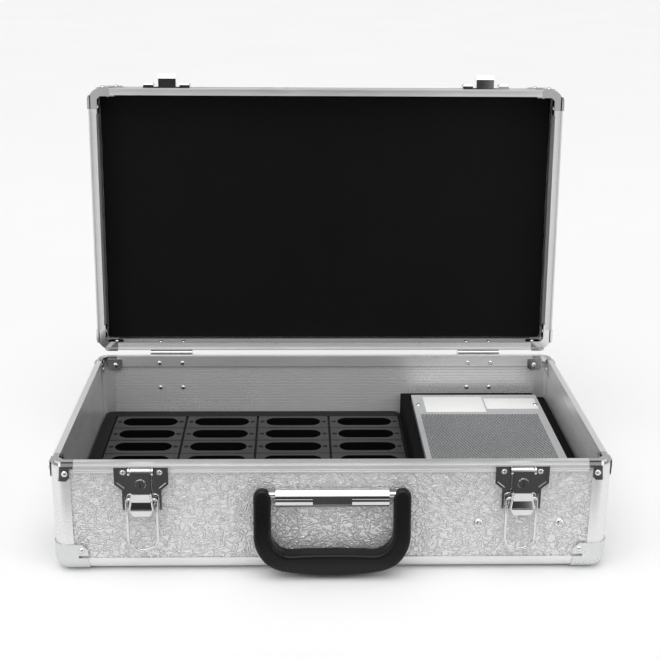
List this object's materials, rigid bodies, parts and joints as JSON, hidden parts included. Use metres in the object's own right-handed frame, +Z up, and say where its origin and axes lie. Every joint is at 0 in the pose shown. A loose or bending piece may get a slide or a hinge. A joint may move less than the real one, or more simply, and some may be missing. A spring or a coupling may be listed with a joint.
{
  "type": "charging case",
  "caption": "Aluminium-framed charging case with a hinged lid, draw latches, a folding handle, a tray of charging bays and a built-in power supply.",
  "frame": {"origin": "centre of the base's footprint, at the level of the floor that its corner caps stand on", "axes": "+X to the right as seen from the front, +Y to the back, +Z up; the lid is stored open"},
  "size_m": [0.4646, 0.3497, 0.3744],
  "materials": {
    "panel_skin": "embossed, satin",
    "extrusion": "satin anodised",
    "cap_metal": "satin",
    "chrome": "polished",
    "fastener": "polished",
    "hinge_metal": "satin",
    "foam": "open-cell foam",
    "tray_black": "fine matt",
    "socket_grey": "fine matt",
    "circuit_board": "solder mask",
    "batten": "plain",
    "supply_metal": "perforated sheet",
    "inlet_black": "satin",
    "brass": "plated",
    "grip_black": "fine-grained"
  },
  "bodies": {
    "base": {"base_corner_caps": "cap_metal", "base_corner_posts": "extrusion", "base_edge_extrusions": "extrusion", "base_panel_back": "panel_skin", "base_panel_bottom": "panel_skin", "base_panel_front": "panel_skin", "base_panel_left": "panel_skin", "base_panel_right": "panel_skin", "base_rim_back": "extrusion", "base_rim_corners": "chrome", "base_rim_front": "extrusion", "base_rim_left": "extrusion", "base_rim_right": "extrusion", "base_rivets": "fastener", "bay_sockets": "socket_grey", "board_standoffs": "batten", "contact_boards": "circuit_board", "foam_surround": "foam", "front_screws": "fastener", "handle_bracket": "chrome", "handle_pins": "fastener", "hinge_leaf_left": "hinge_metal", "hinge_leaf_right": "hinge_metal", "hinge_pins": "fastener", "inlet_pins": "brass", "latch_pins": "fastener", "latch_plate_left": "chrome", "latch_plate_right": "chrome", "mains_inlet": "inlet_black", "supply_board": "circuit_board", "supply_chassis": "supply_metal", "supply_cover": "supply_metal", "supply_rails": "batten", "supply_screws": "fastener", "supply_terminals": "inlet_black", "tray_plate": "tray_black", "tray_rails": "batten"},
    "lid": {"lid_catches": "chrome", "lid_corner_caps": "cap_metal", "lid_corner_posts": "extrusion", "lid_edge_extrusions": "extrusion", "lid_foam": "foam", "lid_hinge_leaves": "hinge_metal", "lid_hinge_rivets": "fastener", "lid_panel_top": "panel_skin", "lid_rim_back": "extrusion", "lid_rim_corners": "chrome", "lid_rim_front": "extrusion", "lid_rim_left": "extrusion", "lid_rim_right": "extrusion", "lid_rivets": "fastener", "lid_side_panels": "panel_skin"},
    "handle": {"handle_grip": "grip_black"},
    "lever_left": {"latch_lever_left": "chrome"},
    "bail_left": {"latch_bail_left": "chrome"},
    "lock_left": {"lock_cylinder_left": "chrome"},
    "lever_right": {"latch_lever_right": "chrome"},
    "bail_right": {"latch_bail_right": "chrome"},
    "lock_right": {"lock_cylinder_right": "chrome"}
  },
  "joints": [
    {"name": "lid_hinge", "type": "hinge", "parent": "base", "child": "lid", "pos_m": [0, 0.1336, 0.1], "axis": [1, 0, 0], "range_deg": [0, 95]},
    {"name": "handle_fold", "type": "hinge", "parent": "base", "child": "handle", "pos_m": [0, -0.1346, 0.0733], "axis": [-1, 0, 0], "range_deg": [0, 90]},
    {"name": "lever_left", "type": "hinge", "parent": "base", "child": "lever_left", "pos_m": [-0.155, -0.135, 0.0945], "axis": [-1, 0, 0], "range_deg": [0, 95]},
    {"name": "bail_left", "type": "hinge", "parent": "lever_left", "child": "bail_left", "pos_m": [-0.155, -0.1356, 0.07], "axis": [1, 0, 0], "range_deg": [-180, 0]},
    {"name": "lock_left", "type": "hinge", "parent": "lever_left", "child": "lock_left", "pos_m": [-0.155, -0.138, 0.0845], "axis": [0, -1, 0], "range_deg": [0, 90]},
    {"name": "lever_right", "type": "hinge", "parent": "base", "child": "lever_right", "pos_m": [0.155, -0.135, 0.0945], "axis": [-1, 0, 0], "range_deg": [0, 95]},
    {"name": "bail_right", "type": "hinge", "parent": "lever_right", "child": "bail_right", "pos_m": [0.155, -0.1356, 0.07], "axis": [1, 0, 0], "range_deg": [-180, 0]},
    {"name": "lock_right", "type": "hinge", "parent": "lever_right", "child": "lock_right", "pos_m": [0.155, -0.138, 0.0845], "axis": [0, -1, 0], "range_deg": [0, 90]}
  ]
}
